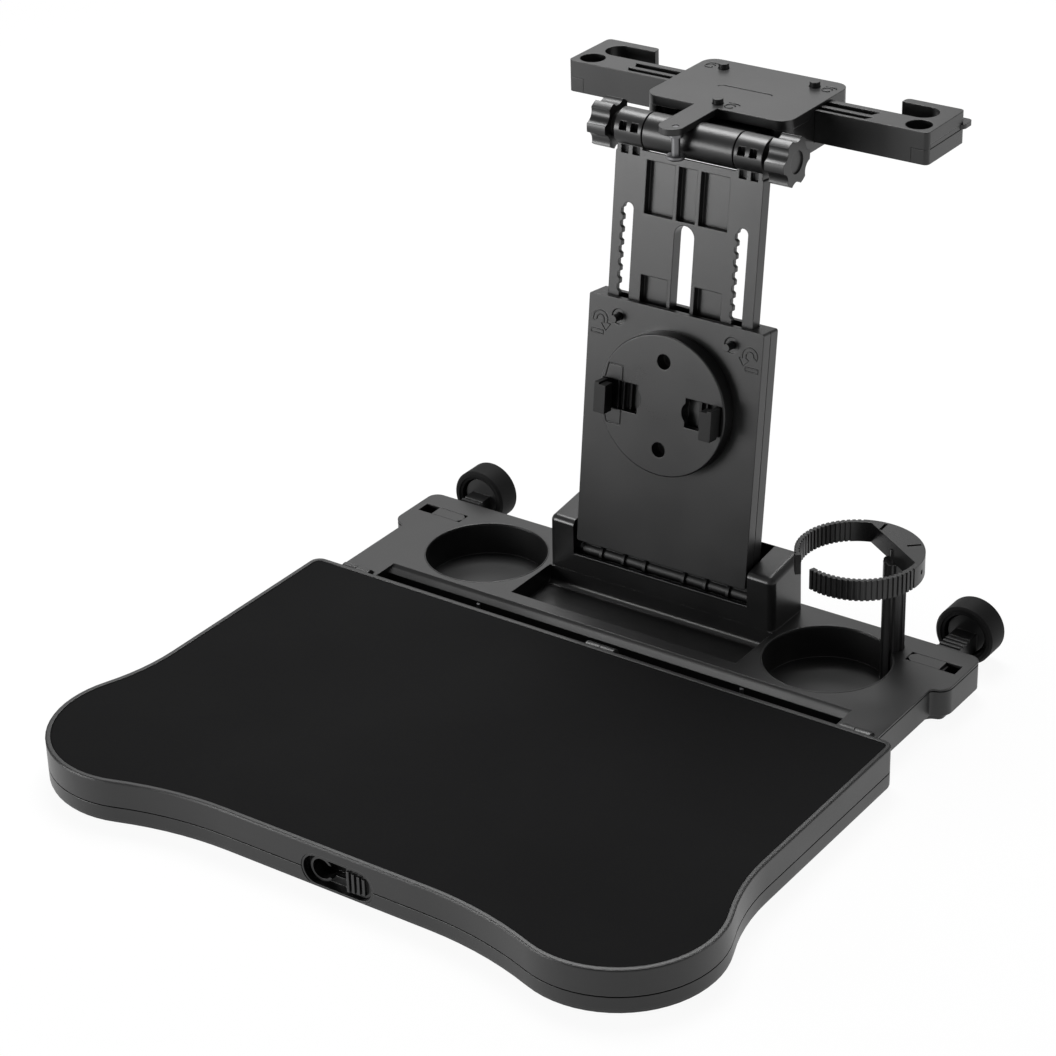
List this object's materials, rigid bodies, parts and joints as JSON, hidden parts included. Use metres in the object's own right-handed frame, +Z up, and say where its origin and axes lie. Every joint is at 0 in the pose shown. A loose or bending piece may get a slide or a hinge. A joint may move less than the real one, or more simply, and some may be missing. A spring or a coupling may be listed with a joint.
{
  "type": "car seat back tray",
  "caption": "Folding tray for a car seat back, with cup recesses, a hinged table, a telescopic mast with a turning holder disc, and sliding hooked arms for head restraint posts.",
  "frame": {"origin": "on the flat underside of the base, midway between the centres of the cup recesses", "axes": "+Z up, -Y towards the user along the table, +X to the side with the cup ring"},
  "size_m": [0.447, 0.501, 0.3279],
  "materials": {
    "shell_plastic": "black moulded plastic with a fine satin texture",
    "part_plastic": "black moulded plastic, satin",
    "mat": "thin matt black mat",
    "rubber": "matt black rubber",
    "steel": "plain steel, blackened where it shows"
  },
  "bodies": {
    "base": {"base_top": "shell_plastic", "base_bottom": "shell_plastic", "base_screws": "steel", "table_hinge_pins": "steel", "mast_hinge_pin": "steel"},
    "table": {"table_upper": "shell_plastic", "table_lower": "shell_plastic", "table_mat": "mat", "table_screws": "steel", "latch_plate": "part_plastic"},
    "latch": {"latch_slider": "part_plastic"},
    "sleeve": {"sleeve_back": "shell_plastic", "sleeve_front": "shell_plastic", "sleeve_screws": "steel"},
    "sleeve_button_left": {"release_button_left": "part_plastic"},
    "sleeve_button_right": {"release_button_right": "part_plastic"},
    "disc": {"turn_disc": "shell_plastic", "disc_retainer": "part_plastic"},
    "left_jaw": {"jaw_left": "part_plastic"},
    "right_jaw": {"jaw_right": "part_plastic"},
    "plate": {"mast_plate": "shell_plastic", "bracket_bolt": "steel"},
    "left_knob": {"knob_left": "part_plastic"},
    "right_knob": {"knob_right": "part_plastic"},
    "bracket": {"bracket_body": "shell_plastic", "bracket_cover": "shell_plastic", "catch_pin": "steel", "bracket_screws": "steel"},
    "left_arm_button": {"arm_button_left": "part_plastic"},
    "right_arm_button": {"arm_button_right": "part_plastic"},
    "middle_button": {"front_button": "part_plastic"},
    "left_arm": {"arm_left_lower": "shell_plastic", "arm_left_upper": "shell_plastic", "arm_screws_left": "steel"},
    "right_arm": {"arm_right_lower": "shell_plastic", "arm_right_upper": "shell_plastic", "arm_screws_right": "steel"},
    "left_lock": {"lock_plate_left": "part_plastic"},
    "right_lock": {"lock_plate_right": "part_plastic"},
    "left_bumper": {"stem_left": "part_plastic", "bumper_left": "rubber"},
    "right_bumper": {"stem_right": "part_plastic", "bumper_right": "rubber"},
    "left_tab": {"release_tab_left": "part_plastic"},
    "right_tab": {"release_tab_right": "part_plastic"},
    "post": {"ring_post": "part_plastic"},
    "ring": {"cup_ring": "part_plastic"}
  },
  "joints": [
    {"name": "table_fold", "type": "hinge", "parent": "base", "child": "table", "pos_m": [0, -0.064, 0.0225], "axis": [-1, 0, 0], "range_deg": [0, 110]},
    {"name": "latch_slide", "type": "slide", "parent": "table", "child": "latch", "axis": [-1, 0, 0], "range_m": [0, 0.008]},
    {"name": "mast_tilt", "type": "hinge", "parent": "base", "child": "sleeve", "pos_m": [0, 0.01949, 0.03701], "axis": [-1, 0, 0], "range_deg": [-7, 12]},
    {"name": "mast_height", "type": "slide", "parent": "sleeve", "child": "plate", "axis": [0, 0.1219, 0.9925], "range_m": [-0.064, 0.024]},
    {"name": "sleeve_press_left", "type": "slide", "parent": "sleeve", "child": "sleeve_button_left", "axis": [0, 0.9925, -0.1219], "range_m": [0, 0.0012], "stiffness_N_per_m": 400},
    {"name": "sleeve_press_right", "type": "slide", "parent": "sleeve", "child": "sleeve_button_right", "axis": [0, 0.9925, -0.1219], "range_m": [0, 0.0012], "stiffness_N_per_m": 400},
    {"name": "disc_turn", "type": "hinge", "parent": "sleeve", "child": "disc", "pos_m": [0, 0.01765, 0.1533], "axis": [0, -0.9925, 0.1219], "continuous": true},
    {"name": "jaw_slide_left", "type": "slide", "parent": "disc", "child": "left_jaw", "axis": [1, 0, 0], "range_m": [0, 0.008]},
    {"name": "jaw_slide_right", "type": "slide", "parent": "disc", "child": "right_jaw", "axis": [-1, 0, 0], "range_m": [0, 0.008]},
    {"name": "bracket_tilt", "type": "hinge", "parent": "plate", "child": "bracket", "pos_m": [0, 0.0535, 0.3105], "axis": [1, 0, 0], "range_deg": [-20, 20]},
    {"name": "knob_turn_left", "type": "hinge", "parent": "plate", "child": "left_knob", "pos_m": [-0.06, 0.0535, 0.3105], "axis": [-1, 0, 0], "continuous": true},
    {"name": "knob_turn_right", "type": "hinge", "parent": "plate", "child": "right_knob", "pos_m": [0.06, 0.0535, 0.3105], "axis": [1, 0, 0], "continuous": true},
    {"name": "arm_press_left", "type": "slide", "parent": "bracket", "child": "left_arm_button", "axis": [0, 0, -1], "range_m": [0, 0.0015], "stiffness_N_per_m": 400},
    {"name": "arm_press_right", "type": "slide", "parent": "bracket", "child": "right_arm_button", "axis": [0, 0, -1], "range_m": [0, 0.0015], "stiffness_N_per_m": 400},
    {"name": "middle_press", "type": "slide", "parent": "bracket", "child": "middle_button", "axis": [0, 0, -1], "range_m": [0, 0.0015], "stiffness_N_per_m": 400},
    {"name": "arm_slide_left", "type": "slide", "parent": "bracket", "child": "left_arm", "axis": [1, 0, 0], "range_m": [0, 0.034]},
    {"name": "arm_slide_right", "type": "slide", "parent": "bracket", "child": "right_arm", "axis": [-1, 0, 0], "range_m": [0, 0.034]},
    {"name": "lock_slide_left", "type": "slide", "parent": "left_arm", "child": "left_lock", "axis": [1, 0, 0], "range_m": [0, 0.007]},
    {"name": "lock_slide_right", "type": "slide", "parent": "right_arm", "child": "right_lock", "axis": [-1, 0, 0], "range_m": [0, 0.007]},
    {"name": "bumper_slide_left", "type": "slide", "parent": "base", "child": "left_bumper", "axis": [0, 1, 0], "range_m": [-0.012, 0.03]},
    {"name": "bumper_slide_right", "type": "slide", "parent": "base", "child": "right_bumper", "axis": [0, 1, 0], "range_m": [-0.021, 0.021]},
    {"name": "tab_slide_left", "type": "slide", "parent": "base", "child": "left_tab", "axis": [-1, 0, 0], "range_m": [0, 0.008]},
    {"name": "tab_slide_right", "type": "slide", "parent": "base", "child": "right_tab", "axis": [1, 0, 0], "range_m": [0, 0.008]},
    {"name": "ring_lower", "type": "slide", "parent": "base", "child": "post", "axis": [0, 0, -1], "range_m": [0, 0.05]},
    {"name": "ring_swivel", "type": "hinge", "parent": "post", "child": "ring", "pos_m": [0.151, 0.0335, 0.0865], "axis": [0, 0, 1], "range_deg": [-60, 90]}
  ]
}
